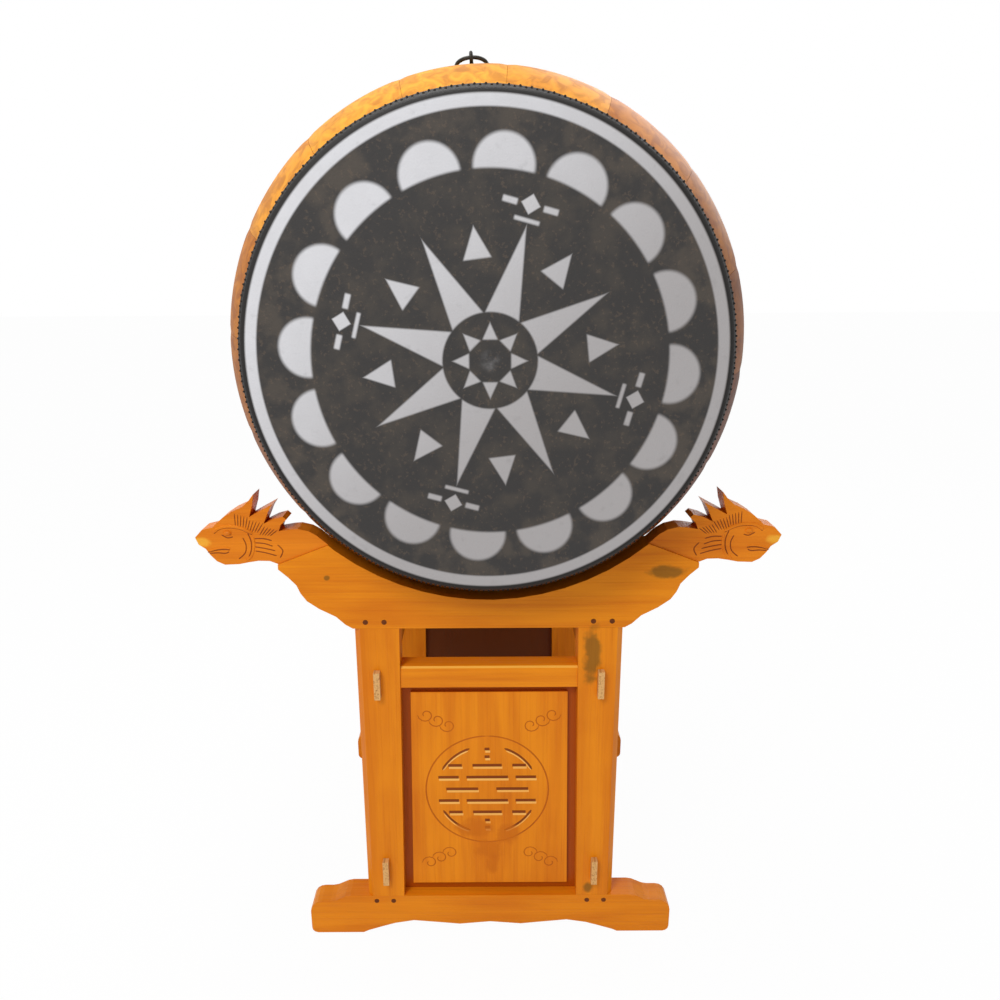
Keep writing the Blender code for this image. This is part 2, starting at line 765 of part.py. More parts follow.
def make_stand(wood, carved, peg_wood):
    """Two frames and the side rails between them."""
    stand = make_empty("stand")
    reach = FRAME_FACE + PLANK
    rings = [facet_ring(y, NOTCH_RADIUS) for y in (-reach, reach)]
    notch = add_tool("notch", skin("notch", rings), stand)
    notch.location = (0, 0, AXIS_HEIGHT)
    front_legs = make_frame("front", -1, notch, stand, wood, carved, peg_wood)
    rear_legs = make_frame("rear", 1, notch, stand, wood, carved, peg_wood)
    upper_z = RAIL_TOP - SIDE_RAIL_HEIGHT / 2
    lower_z = FOOT_TOP + LOWER_RAIL_LIFT
    for side, word in ((-1, "left"), (1, "right")):
        legs = (front_legs[side], rear_legs[side])
        make_side_rail(f"{word}_upper_side_rail", side, upper_z, legs, stand, wood)
        make_side_rail(f"{word}_lower_side_rail", side, lower_z, legs, stand, wood)


def main():
    clear_scene()
    barrel_wood = make_material("barrel_wood", (0.50, 0.22, 0.04), 0.25)
    hide = make_material("drum_hide", (0.07, 0.065, 0.06), 0.6)
    iron = make_material("iron", (0.10, 0.10, 0.10), 0.5, 0.9)
    stand_wood = make_material("stand_wood", (0.75, 0.30, 0.03), 0.35)
    carved_wood = make_material("carved_wood", (0.60, 0.20, 0.03), 0.35)
    peg_wood = make_material("peg_wood", (0.25, 0.10, 0.03), 0.5)
    make_drum(barrel_wood, hide, iron)
    make_stand(stand_wood, carved_wood, peg_wood)


main()
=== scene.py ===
"""Looks of the temple drum: lacquered staves, painted hide heads and a varnished stand with carving."""
import json
import math
import random

import bmesh
import bpy
from mathutils import Matrix, Vector


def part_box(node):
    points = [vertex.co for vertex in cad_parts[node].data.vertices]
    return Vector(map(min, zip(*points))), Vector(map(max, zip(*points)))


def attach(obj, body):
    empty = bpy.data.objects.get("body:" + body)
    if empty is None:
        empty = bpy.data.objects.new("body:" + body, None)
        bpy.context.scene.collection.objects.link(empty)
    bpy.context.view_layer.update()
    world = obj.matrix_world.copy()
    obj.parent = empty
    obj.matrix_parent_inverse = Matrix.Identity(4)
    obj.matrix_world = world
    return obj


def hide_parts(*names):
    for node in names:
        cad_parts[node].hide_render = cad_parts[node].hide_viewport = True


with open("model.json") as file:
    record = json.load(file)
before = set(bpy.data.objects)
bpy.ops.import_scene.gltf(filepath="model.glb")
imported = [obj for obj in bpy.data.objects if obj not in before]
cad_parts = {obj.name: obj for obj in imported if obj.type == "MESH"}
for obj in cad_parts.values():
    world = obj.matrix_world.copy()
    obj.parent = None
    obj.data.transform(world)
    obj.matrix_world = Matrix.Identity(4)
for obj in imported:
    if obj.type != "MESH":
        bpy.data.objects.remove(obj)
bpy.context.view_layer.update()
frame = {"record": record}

# Barrel, in metres: its side curves from the belly to the ends, which are rounded over
HEAD_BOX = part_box("front_head")
AXIS_Z = (HEAD_BOX[0][2] + HEAD_BOX[1][2]) / 2
FACE = -HEAD_BOX[0][1]
BELLY_RADIUS = 0.5014
END_RADIUS = 0.3954
BARREL_POWER = 2.4
EDGE_ROUND = 0.008
CURVE_HALF = FACE - 0.0123

# Staves, in metres and, round the barrel, in radians from its top
STAVE_COUNT = 16
STAVE_WIDTH = 2 * math.pi / STAVE_COUNT
FIRST_JOINT = math.radians(4.4)
STAVE_THICKNESS = 0.021
JOINT_GAP = 0.0006
JOINT_EASE = 0.0012
ALONG_STEPS, ROUND_STEPS = 28, 14

# Hide heads, in metres: the skirt waves along its trimmed edge, and the face has rings of these radii
HIDE_THICKNESS = 0.0046
HIDE_CLEARANCE = 0.0006
HIDE_EASE = 0.0004
SKIRT_LENGTH = 0.0212
SKIRT_EDGE = 0.007
SKIRT_WAVE = 0.0018
FACE_DISH = 0.0002
FACE_DEPTH = 0.004
FACE_RADII = (0.380, 0.36, 0.30, 0.24, 0.18, 0.12, 0.06, 0.002)
HEAD_STEPS, WAVE_STEPS = 256, 4

# Pegs that nail the hides: distance of the two rows from the face, then rise and radius up each peg
PEG_COUNT = 296
PEG_ROWS = (0.0172, 0.0118)
PEG_SECTIONS = ((-0.002, 0.0021), (0.0014, 0.0021), (0.0024, 0.0012))
PEG_SIDES = 7

# Planes of the stand, in metres from the middle
FRAME_FACE = -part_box("front_left_leg")[0][1]
DRAGON_FACE = -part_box("front_left_dragon_head")[0][1]
DRAGON_BACK = -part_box("front_left_dragon_head")[1][1]
PANEL_FIELD = -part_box("front_panel")[0][1]
PANEL_INSIDE = -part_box("front_panel")[1][1]

# Painted pattern on the front head: its middle, soft edge and number of rays
PATTERN_X, PATTERN_Z = 0.0045, -0.0022
PAINT_BLUR = 0.0022
RAY_COUNT, RAY_TURN = 8, 15.5
HUB_RADIUS = 0.077
# Base, tip and half width of each triangle
RAY = (0.060, 0.210, 0.030)
OUTER_TRIANGLE = (0.158, 0.206, 0.022)
INNER_TRIANGLE = (0.034, 0.060, 0.012)
# Half moons: round part and the circle that cuts them off
MOON_COUNT, MOON_TURN = 16, 4.4
MOON_CENTRE, MOON_RADIUS, MOON_CUT = 0.292, 0.047, 0.288
# Ornament beyond every second ray: a lozenge with a bar on each side and one below
ORNAMENT_COUNT, ORNAMENT_TURN = 4, 15.0
LOZENGE_CENTRE, LOZENGE_HALF = 0.244, 0.015
SIDE_BAR_WIDTH, SIDE_BAR_HEIGHT = (0.021, 0.044), (0.238, 0.247)
LOWER_BAR_HALF, LOWER_BAR_HEIGHT = 0.020, (0.217, 0.223)
# Inner and outer radius of the band round the pattern, and the radius beyond which the hide is worn
BAND = (0.370, 0.388)
WORN_RADIUS = 0.285


def linear(red, green, blue):
    """Linear colour of an 8-bit screen colour."""
    return tuple(((value / 255 + 0.055) / 1.055) ** 2.4 for value in (red, green, blue)) + (1.0,)


# Sockets of a Mix node that mixes colours
MIX_SHARE, MIX_FIRST, MIX_SECOND, MIX_RESULT = 0, 6, 7, 2


class Nodes:
    """Short way to write a material's nodes."""

    def __init__(self, name, roughness, specular=0.3):
        self.material = bpy.data.materials.new(name)
        self.material.use_nodes = True
        self.tree = self.material.node_tree
        self.shader = self.tree.nodes["Principled BSDF"]
        self.shader.inputs["Roughness"].default_value = roughness
        self.shader.inputs["Specular IOR Level"].default_value = specular
        self.place = self.tree.nodes.new("ShaderNodeTexCoord").outputs["Object"]

    def put(self, socket, value):
        """Link a socket to another one, or give it a value."""
        if isinstance(value, bpy.types.NodeSocket):
            self.tree.links.new(value, socket)
        else:
            socket.default_value = value

    def math(self, kind, first, second=0.0):
        """Result of one step of arithmetic."""
        node = self.tree.nodes.new("ShaderNodeMath")
        node.operation = kind
        self.put(node.inputs[0], first)
        self.put(node.inputs[1], second)
        return node.outputs[0]

    def soft(self, value, low, high):
        """Smooth step from 0 at the low value to 1 at the high one."""
        node = self.tree.nodes.new("ShaderNodeMapRange")
        node.interpolation_type = "SMOOTHSTEP"
        self.put(node.inputs["Value"], value)
        node.inputs["From Min"].default_value = low
        node.inputs["From Max"].default_value = high
        return node.outputs[0]

    def axes(self):
        """Where a point lies along X, Y and Z."""
        split = self.tree.nodes.new("ShaderNodeSeparateXYZ")
        self.tree.links.new(self.place, split.inputs[0])
        return split.outputs[0], split.outputs[1], split.outputs[2]

    def noise(self, scale, stretch=(1, 1, 1), detail=4.0, warp=0.0):
        """Noise in the piece's own space, finer along the axes with a larger stretch."""
        mapping = self.tree.nodes.new("ShaderNodeMapping")
        self.tree.links.new(self.place, mapping.inputs["Vector"])
        mapping.inputs["Scale"].default_value = stretch
        node = self.tree.nodes.new("ShaderNodeTexNoise")
        node.inputs["Scale"].default_value = scale
        node.inputs["Detail"].default_value = detail
        node.inputs["Distortion"].default_value = warp
        self.tree.links.new(mapping.outputs[0], node.inputs["Vector"])
        return node.outputs["Fac"]

    def stain_or_highlight(self, centre, size):
        """Soft irregular spot round a point, with the given half sizes."""
        raggedness, edge, strength = 1.4, (1.2, 1.8), 0.75
        shift = self.tree.nodes.new("ShaderNodeMapping")
        self.tree.links.new(self.place, shift.inputs["Vector"])
        shift.inputs["Location"].default_value = [-middle / half for middle, half in zip(centre, size)]
        shift.inputs["Scale"].default_value = [1 / half for half in size]
        length = self.tree.nodes.new("ShaderNodeVectorMath")
        length.operation = "LENGTH"
        self.tree.links.new(shift.outputs[0], length.inputs[0])
        wander = self.math("MULTIPLY", self.noise(40.0), raggedness)
        outside = self.soft(self.math("ADD", length.outputs["Value"], wander), *edge)
        return self.math("MULTIPLY", self.math("SUBTRACT", 1.0, outside), strength)

    def mix(self, share, first, second):
        """Colour between two colours."""
        node = self.tree.nodes.new("ShaderNodeMix")
        node.data_type = "RGBA"
        self.put(node.inputs[MIX_SHARE], share)
        self.put(node.inputs[MIX_FIRST], first)
        self.put(node.inputs[MIX_SECOND], second)
        return node.outputs[MIX_RESULT]

    def finish(self, colour, relief=None, depth=0.0):
        """Give the material its colour and, if wanted, a relief so many metres deep."""
        self.put(self.shader.inputs["Base Color"], colour)
        if relief is not None:
            node = self.tree.nodes.new("ShaderNodeBump")
            node.inputs["Distance"].default_value = depth
            self.put(node.inputs["Height"], relief)
            self.tree.links.new(node.outputs[0], self.shader.inputs["Normal"])
        return self.material


# Stains in the wood, and painted highlights on the dragons' snouts: centre, half sizes and colour
KNOT, FIGURE, SNOUT_HIGHLIGHT = linear(120, 84, 22), linear(206, 108, 10), linear(250, 184, 60)
STAINS_AND_HIGHLIGHTS = (
    ((0.202, -FRAME_FACE, 0.655), (0.020, 0.030, 0.070), KNOT),
    ((0.210, -FRAME_FACE, 0.115), (0.014, 0.030, 0.016), KNOT),
    ((0.340, -FRAME_FACE, 0.832), (0.042, 0.030, 0.014), KNOT),
    ((-0.306, -FRAME_FACE, 0.822), (0.006, 0.030, 0.005), KNOT),
    ((-0.030, -PANEL_FIELD, 0.250), (0.046, 0.030, 0.026), FIGURE),
    ((0.040, -PANEL_FIELD, 0.236), (0.026, 0.030, 0.030), FIGURE),
    ((0.000, -PANEL_FIELD, 0.200), (0.036, 0.030, 0.028), FIGURE),
    ((0.006, -PANEL_FIELD, 0.160), (0.018, 0.030, 0.026), FIGURE),
    # Painted highlights on the tops of the dragons' snouts
    ((0.540, -0.345, 0.894), (0.022, 0.040, 0.011), SNOUT_HIGHLIGHT),
    ((-0.540, -0.345, 0.894), (0.022, 0.040, 0.011), SNOUT_HIGHLIGHT),
)

# Axes that the grain can run along, and how the grain shows
ALONG_X, ALONG_Y, ALONG_Z = range(3)
STREAK_SQUEEZE, PORE_SQUEEZE, PORE_STRETCH = 14.0, 90.0, 1.5
STREAK_SHARE, DRIFT_SHARE, PORE_SHARE = 0.45, 0.30, 0.18
PORE_DEPTH = 0.00025
SATIN, DULL = 0.36, 0.5
WOOD_SPECULAR = 0.14
LIGHT_WOOD, DARK_WOOD = linear(240, 144, 20), linear(206, 104, 10)


def grain_colour(nodes, light, dark, grain):
    """Colour of wood with its grain along one axis, the stains on it and painted highlights, and the mask of
    its pores.
    """
    streak_scale = [1.0 if axis == grain else STREAK_SQUEEZE for axis in range(3)]
    pore_scale = [PORE_STRETCH if axis == grain else PORE_SQUEEZE for axis in range(3)]
    streaks = nodes.soft(nodes.noise(2.2, streak_scale, detail=5.0, warp=0.8), 0.32, 0.72)
    pores = nodes.soft(nodes.noise(3.0, pore_scale, detail=3.0), 0.45, 0.75)
    drift = nodes.soft(nodes.noise(5.0), 0.3, 0.75)
    share = nodes.math("MULTIPLY", streaks, STREAK_SHARE)
    share = nodes.math("ADD", share, nodes.math("MULTIPLY", drift, DRIFT_SHARE))
    share = nodes.math("ADD", share, nodes.math("MULTIPLY", pores, PORE_SHARE))
    colour = nodes.mix(share, light, dark)
    for centre, size, tint in STAINS_AND_HIGHLIGHTS:
        colour = nodes.mix(nodes.stain_or_highlight(centre, size), colour, tint)
    return colour, pores


def wood(name, light, dark, grain, roughness=SATIN):
    """Plain wood between a light and a dark colour."""
    nodes = Nodes(name, roughness, WOOD_SPECULAR)
    colour, pores = grain_colour(nodes, light, dark, grain)
    return nodes.finish(colour, pores, PORE_DEPTH)


def side_rail_wood():
    """Side rail wood, raw and pale on the tenons where they stand proud of the legs."""
    nodes = Nodes("side_rail_wood", SATIN, WOOD_SPECULAR)
    colour, pores = grain_colour(nodes, LIGHT_WOOD, DARK_WOOD, ALONG_Y)
    depth = nodes.math("ABSOLUTE", nodes.axes()[1])
    proud = nodes.soft(depth, FRAME_FACE, FRAME_FACE + 0.0005)
    pale = nodes.mix(pores, linear(226, 176, 112), linear(176, 122, 66))
    return nodes.finish(nodes.mix(proud, colour, pale), pores, PORE_DEPTH)


def panel_wood():
    """Panel wood: varnished field, with painted shade on the sunk border and on the inner face towards the
    middle of the stand.
    """
    border_depth, inner_depth = PANEL_FIELD - 0.0008, PANEL_INSIDE + 0.001
    nodes = Nodes("panel_wood", SATIN, WOOD_SPECULAR)
    colour, pores = grain_colour(nodes, LIGHT_WOOD, DARK_WOOD, ALONG_Z)
    depth = nodes.math("ABSOLUTE", nodes.axes()[1])
    # Painted shade in the sunk border round the raised field
    sunk_shade = nodes.math("LESS_THAN", depth, border_depth)
    colour = nodes.mix(sunk_shade, colour, linear(172, 80, 8))
    # Painted shade on the inner face, towards the middle of the stand
    inside = nodes.math("LESS_THAN", depth, inner_depth)
    colour = nodes.mix(inside, colour, linear(104, 52, 18))
    return nodes.finish(colour, pores, PORE_DEPTH)


def iron():
    """Dark forged iron."""
    nodes = Nodes("dark_iron", 0.5)
    nodes.shader.inputs["Metallic"].default_value = 0.85
    grit = nodes.noise(180.0)
    colour = nodes.mix(grit, linear(70, 68, 64), linear(34, 32, 30))
    return nodes.finish(colour, grit, 0.0003)


# Woods of the stand, its carving and the pegs, and the colours of painted shade and painted highlights
LEVEL_WOOD = wood("stand_wood_x", LIGHT_WOOD, DARK_WOOD, ALONG_X)
UPRIGHT_WOOD = wood("stand_wood_z", LIGHT_WOOD, DARK_WOOD, ALONG_Z)
CARVED_WOOD = wood("carved_wood", linear(238, 138, 26), linear(196, 94, 12), ALONG_X)
# Painted shade in the carved grooves of the dragons and the roundel
GROOVE_SHADE_WOOD = wood("groove_shade_wood", linear(146, 70, 16), linear(108, 46, 10), ALONG_X, DULL)
# Faint painted shade of the shallow carved ring and scrolls
FAINT_SHADE_WOOD = wood("faint_shade_wood", linear(200, 104, 14), linear(172, 82, 8), ALONG_X, DULL)
# Painted highlight on the lit lower edges of the roundel's bars and arcs
EDGE_HIGHLIGHT_WOOD = wood("edge_highlight_wood", linear(255, 196, 104), linear(244, 164, 66), ALONG_X, DULL)
# Painted highlight on the rounded top edges of the cross rails and foot beams
ARRIS_HIGHLIGHT_WOOD = wood("arris_highlight_wood", linear(255, 190, 78), linear(246, 160, 44), ALONG_X, 0.3)
DRAW_PEG_WOOD = wood("peg_wood", linear(120, 62, 24), linear(84, 40, 16), ALONG_Y, 0.6)
HIDE_PEG_WOOD = wood("hide_peg_wood", linear(44, 36, 30), linear(22, 19, 17), ALONG_Y, 0.45)

# Screen colours of the lacquer at the lit top and the shaded foot of the barrel, which are painted light and
# shade, and how they vary: from stave to stave, with a painted highlight towards the very top, and darker in
# the streaks and blots
LIT_AMBER, SHADED_BROWN = (232, 142, 12), (84, 38, 12)
STAVE_VARIETY, TOP_HIGHLIGHT, STREAK_SHADE = 8, (0, 18, 30), (0.72, 0.6, 0.5)
STREAK_STRENGTH, BLOT_STRENGTH, BLOT = 0.7, 0.4, linear(112, 48, 10)


def stave_wood(number):
    """Lacquered stave with painted light and shade: amber where lit at the top and left, red-brown in shade
    below, a little different each.
    """
    middle = FIRST_JOINT + (number - 0.5) * STAVE_WIDTH
    leftness, reach = 0.35, 1.06
    # Painted light: the higher the stave lies and the further to the lit left, the lighter its colour
    height = (math.cos(middle) - leftness * math.sin(middle) + reach) / (2 * reach)
    lift = STAVE_VARIETY * math.sin(number * 2.3)
    tone = [
        low + (high - low) * height + lift + highlight * height ** 6
        for low, high, highlight in zip(SHADED_BROWN, LIT_AMBER, TOP_HIGHLIGHT)
    ]
    dark = [value * shade for value, shade in zip(tone, STREAK_SHADE)]
    nodes = Nodes(f"stave_wood_{number:02d}", 0.42, 0.03)
    streaks = nodes.soft(nodes.noise(3.0, (12.0, 1.0, 12.0), detail=5.0, warp=1.2), 0.35, 0.7)
    blots = nodes.soft(nodes.noise(9.0), 0.5, 0.75)
    colour = nodes.mix(nodes.math("MULTIPLY", streaks, STREAK_STRENGTH), linear(*tone), linear(*dark))
    colour = nodes.mix(nodes.math("MULTIPLY", blots, BLOT_STRENGTH), colour, BLOT)
    return nodes.finish(colour, streaks, 0.0002)


class HeadNodes(Nodes):
    """Nodes that draw on a head with the distance and angle from the middle of the pattern."""

    def __init__(self, name):
        super().__init__(name, 0.62)
        across, _, up = self.axes()
        x = self.math("SUBTRACT", across, PATTERN_X)
        z = self.math("SUBTRACT", up, AXIS_Z + PATTERN_Z)
        self.lit_side = self.math("SUBTRACT", z, x)
        self.angle = self.math("ARCTAN2", x, z)
        self.radius = self.length(x, z)
        self.head_radius = self.length(across, self.math("SUBTRACT", up, AXIS_Z))

    def length(self, first, second):
        """Length of a line that goes so far along two axes."""
        squares = [self.math("MULTIPLY", side, side) for side in (first, second)]
        return self.math("SQRT", self.math("ADD", *squares))

    def above(self, value, limit, edge=PAINT_BLUR):
        """Soft mask of the places where a value is above a limit."""
        return self.soft(value, limit - edge, limit + edge)

    def below(self, value, limit, edge=PAINT_BLUR):
        """Soft mask of the places where a value is below a limit."""
        return self.math("SUBTRACT", 1.0, self.above(value, limit, edge))

    def between(self, value, limits):
        """Soft mask of the places where a value is between two limits."""
        return self.math("MULTIPLY", self.above(value, limits[0]), self.below(value, limits[1]))

    def folded(self, count, turn):
        """Distances along and beside the nearest of a ring of equal axes, turned so many degrees."""
        step = 2 * math.pi / count
        # Added to the angle, so that what is divided is never negative
        two_rounds = 4 * math.pi
        turned = self.math("SUBTRACT", self.angle, math.radians(turn))
        wrapped = self.math("MODULO", self.math("ADD", turned, step / 2 + two_rounds), step)
        near = self.math("ABSOLUTE", self.math("SUBTRACT", wrapped, step / 2))
        along = self.math("MULTIPLY", self.radius, self.math("COSINE", near))
        beside = self.math("MULTIPLY", self.radius, self.math("SINE", near))
        return along, beside

    def triangles(self, count, turn, base, tip, half_base):
        """Ring of triangles that point outwards."""
        along, beside = self.folded(count, turn)
        side = self.math("MULTIPLY", self.math("SUBTRACT", tip, along), half_base / (tip - base))
        inside = self.below(self.math("SUBTRACT", beside, side), 0.0)
        return self.math("MULTIPLY", self.above(along, base), inside)

    def moons(self):
        """Ring of half moons whose cut-off sides face the middle."""
        along, beside = self.folded(MOON_COUNT, MOON_TURN)
        from_centre = self.length(self.math("SUBTRACT", along, MOON_CENTRE), beside)
        rounds = self.below(from_centre, MOON_RADIUS, 0.004)
        return self.math("MULTIPLY", rounds, self.above(self.radius, MOON_CUT, 0.003))

    def ornaments(self):
        """Lozenge, bars beside it and bar below it, at the end of every second ray."""
        along, beside = self.folded(ORNAMENT_COUNT, ORNAMENT_TURN)
        off_centre = self.math("ABSOLUTE", self.math("SUBTRACT", along, LOZENGE_CENTRE))
        lozenge = self.below(self.math("ADD", off_centre, beside), LOZENGE_HALF)
        across = self.between(beside, SIDE_BAR_WIDTH)
        side_bars = self.math("MULTIPLY", across, self.between(along, SIDE_BAR_HEIGHT))
        across = self.below(beside, LOWER_BAR_HALF)
        lower_bar = self.math("MULTIPLY", across, self.between(along, LOWER_BAR_HEIGHT))
        return lozenge, side_bars, lower_bar

    def pattern(self):
        """Everything that is painted."""
        rays = self.triangles(RAY_COUNT, RAY_TURN, *RAY)
        paint = self.math("MULTIPLY", rays, self.above(self.radius, HUB_RADIUS))
        outer = self.triangles(RAY_COUNT, RAY_TURN + 180 / RAY_COUNT, *OUTER_TRIANGLE)
        inner = self.triangles(RAY_COUNT, 0.0, *INNER_TRIANGLE)
        band = self.between(self.head_radius, BAND)
        for mask in (outer, inner, self.moons(), *self.ornaments(), band):
            paint = self.math("MAXIMUM", paint, mask)
        return paint


def head_hide(name, painted):
    """Hide painted charcoal, with silver shapes sprayed through a stencil on the front one."""
    nodes = HeadNodes(name)
    mottle = nodes.noise(26.0, detail=6.0)
    flecks = nodes.soft(nodes.noise(170.0, detail=4.0), 0.58, 0.68)
    patches = nodes.soft(mottle, 0.42, 0.62)
    worn = nodes.math("MULTIPLY", nodes.above(nodes.radius, WORN_RADIUS, 0.01), patches)
    rim = nodes.above(nodes.head_radius, BAND[1] + 0.001, 0.001)
    colour = nodes.mix(nodes.soft(mottle, 0.4, 0.7), linear(54, 52, 51), linear(68, 63, 58))
    colour = nodes.mix(nodes.math("MULTIPLY", worn, 0.3), colour, linear(90, 81, 72))
    colour = nodes.mix(nodes.math("MULTIPLY", flecks, 0.3), colour, linear(106, 90, 76))
    colour = nodes.mix(rim, colour, linear(26, 23, 21))
    if painted:
        thin, thick = 0.86, 1.0
        cover = nodes.soft(nodes.noise(60.0, detail=6.0), 0.18, 0.42)
        cover = nodes.math("ADD", thin, nodes.math("MULTIPLY", cover, thick - thin))
        paint = nodes.math("MULTIPLY", nodes.pattern(), cover)
        smudge = nodes.below(nodes.radius, 0.012, 0.009)
        smudge = nodes.math("MULTIPLY", smudge, nodes.soft(mottle, 0.35, 0.6))
        paint = nodes.math("MAXIMUM", paint, nodes.math("MULTIPLY", smudge, 0.45))
        # Painted light: the silver is lighter towards the lit upper left of the head
        lit = nodes.soft(nodes.lit_side, -0.25, 0.5)
        silver = nodes.mix(lit, linear(170, 166, 166), linear(222, 222, 226))
        silver = nodes.mix(nodes.math("MULTIPLY", mottle, 0.3), silver, linear(170, 168, 169))
        colour = nodes.mix(paint, colour, silver)
    grain = nodes.noise(420.0, detail=2.0)
    relief = nodes.math("ADD", grain, nodes.math("MULTIPLY", mottle, 0.6))
    return nodes.finish(colour, relief, 0.0006)


def circle(count):
    """Equal angles round a full turn."""
    return [2 * math.pi * step / count for step in range(count)]


class Shape:
    """Points and faces of one piece, gathered part by part."""

    def __init__(self):
        self.points = []
        self.faces = []

    def skin(self, rings):
        """Add a closed form over a row of equal rings."""
        start = len(self.points)
        size = len(rings[0])
        for ring in rings:
            self.points.extend(ring)
        for row in range(len(rings) - 1):
            low = start + row * size
            high = low + size
            for here in range(size):
                after = (here + 1) % size
                self.faces.append((low + here, low + after, high + after, high + here))
        last = len(self.points) - size
        self.faces.append(tuple(range(start, start + size)))
        self.faces.append(tuple(range(last, last + size)))

    def tube(self, path, width, sides=6, flat=1.0):
        """Add a rounded ridge along a path that keeps its Y, thinner at both ends."""
        end_share = 0.35
        rings = []
        for index, point in enumerate(path):
            before, after = path[max(index - 1, 0)], path[min(index + 1, len(path) - 1)]
            length = math.hypot(after[0] - before[0], after[2] - before[2]) or 1.0
            across = (-(after[2] - before[2]) / length, (after[0] - before[0]) / length)
            radius = width * (end_share if index in (0, len(path) - 1) else 1.0)
            ring = []
            for turn in circle(sides):
                reach = radius * math.cos(turn)
                rise = flat * radius * math.sin(turn)
                ring.append((point[0] + reach * across[0], point[1] + rise, point[2] + reach * across[1]))
            rings.append(ring)
        self.skin(rings)


SHARP_ANGLE = math.radians(40)


def add_mesh(name, shape, material, body, smooth=True):
    """Make a piece from a shape, riding on a body."""
    mesh = bpy.data.meshes.new(name)
    mesh.from_pydata(shape.points, [], shape.faces)
    outward = bmesh.new()
    outward.from_mesh(mesh)
    bmesh.ops.recalc_face_normals(outward, faces=outward.faces)
    outward.to_mesh(mesh)
    outward.free()
    piece = bpy.data.objects.new(name, mesh)
    bpy.context.scene.collection.objects.link(piece)
    mesh.materials.append(material)
    if smooth:
        mesh.shade_smooth()
        mesh.set_sharp_from_angle(angle=SHARP_ANGLE)
    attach(piece, body)
    return piece


def wood_radius(y):
    """Radius of the barrel's side."""
    return BELLY_RADIUS - (BELLY_RADIUS - END_RADIUS) * min(abs(y) / CURVE_HALF, 1.0) ** BARREL_POWER


def polar(angle, y, radius):
    """Point round the barrel's axis, at an angle from the top."""
    return radius * math.sin(angle), y, AXIS_Z + radius * math.cos(angle)


def end_arc(grow, steps=6):
    """Rounded end of the barrel as (y, radius), from the side to the face, grown outwards."""
    reach = EDGE_ROUND + grow
    points = []
    for step in range(steps + 1):
        turn = math.pi / 2 * step / steps
        points.append((CURVE_HALF + reach * math.sin(turn), END_RADIUS - EDGE_ROUND + reach * math.cos(turn)))
    return points


def make_staves():
    """Smooth staves in place of the faceted ones, with eased edges at the joints."""
    inner_every = 4
    side = [CURVE_HALF * step / ALONG_STEPS for step in range(ALONG_STEPS)]
    half = [(y, wood_radius(y)) for y in side] + end_arc(0)
    outer = [(-y, radius) for y, radius in reversed(half[1:])] + half
    inner = [(y, min(wood_radius(y), radius) - STAVE_THICKNESS) for y, radius in outer[::inner_every]]
    profile = outer + inner[::-1]
    for number in range(STAVE_COUNT):
        start = FIRST_JOINT + (number - 1) * STAVE_WIDTH
        rings = []
        for step in range(ROUND_STEPS + 1):
            angle = start + JOINT_GAP + (STAVE_WIDTH - 2 * JOINT_GAP) * step / ROUND_STEPS
            ease = JOINT_EASE if step in (0, ROUND_STEPS) else 0.0
            rings.append([polar(angle, y, radius - ease) for y, radius in profile])
        shape = Shape()
        shape.skin(rings)
        name = f"stave_{number + 1:02d}"
        piece = add_mesh(f"{name}_wood", shape, stave_wood(number), "drum")
        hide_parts(name)


def make_head(name, end, seed, material):
    """Hide head with a slightly dished face, a round rim and a wavy trimmed skirt."""
    random.seed(seed)
    waves = [random.uniform(-SKIRT_WAVE, SKIRT_WAVE) for _ in range(HEAD_STEPS // WAVE_STEPS)]
    trim = FACE - SKIRT_LENGTH
    outer = [(y, wood_radius(y) + HIDE_THICKNESS) for y in (trim, trim + SKIRT_EDGE)]
    outer += end_arc(HIDE_THICKNESS - HIDE_EASE, 8)
    outer += [(FACE - FACE_DISH, radius) for radius in FACE_RADII]
    inner = [(trim, wood_radius(trim) + HIDE_CLEARANCE)] + end_arc(HIDE_CLEARANCE, 4)
    inner += [(FACE - FACE_DEPTH, FACE_RADII[-1])]
    trimmed = (len(outer) - 1, len(outer))
    rings = []
    for place, (y, radius) in enumerate(outer[::-1] + inner):
        ring = []
        for step, angle in enumerate(circle(HEAD_STEPS)):
            spread = waves[step // WAVE_STEPS] if place in trimmed else 0.0
            ring.append(polar(angle, end * (y + spread), radius))
        rings.append(ring)
    shape = Shape()
    shape.skin(rings)
    piece = add_mesh(f"{name}_hide", shape, material, "drum")
    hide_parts(name)


def make_hide_pegs(name, end):
    """Two zigzag rows of round pegs that nail the hide's skirt."""
    shape = Shape()
    for number, angle in enumerate(circle(PEG_COUNT)):
        y = FACE - PEG_ROWS[number % 2]
        base = wood_radius(y) + HIDE_THICKNESS
        rings = []
        for rise, size in PEG_SECTIONS:
            ring = []
            for turn in circle(PEG_SIDES):
                place = y + size * math.cos(turn)
                swing = angle + size * math.sin(turn) / base
                ring.append(polar(swing, end * place, base + rise))
            rings.append(ring)
        shape.skin(rings)
    add_mesh(name, shape, HIDE_PEG_WOOD, "drum")


def smooth_path(points, y, steps=6):
    """Smooth path through (x, z) points on a plane across Y."""
    padded = [points[0]] + list(points) + [points[-1]]
    path = []
    for index in range(1, len(padded) - 2):
        before, here, after, beyond = (Vector(point) for point in padded[index - 1:index + 3])
        speed = after - before
        bend = 2 * before - 5 * here + 4 * after - beyond
        twist = 3 * here - before - 3 * after + beyond
        for step in range(steps):
            t = step / steps
            spot = 0.5 * (2 * here + speed * t + bend * t * t + twist * t ** 3)
            path.append((spot[0], y, spot[1]))
    path.append((points[-1][0], y, points[-1][1]))
    return path


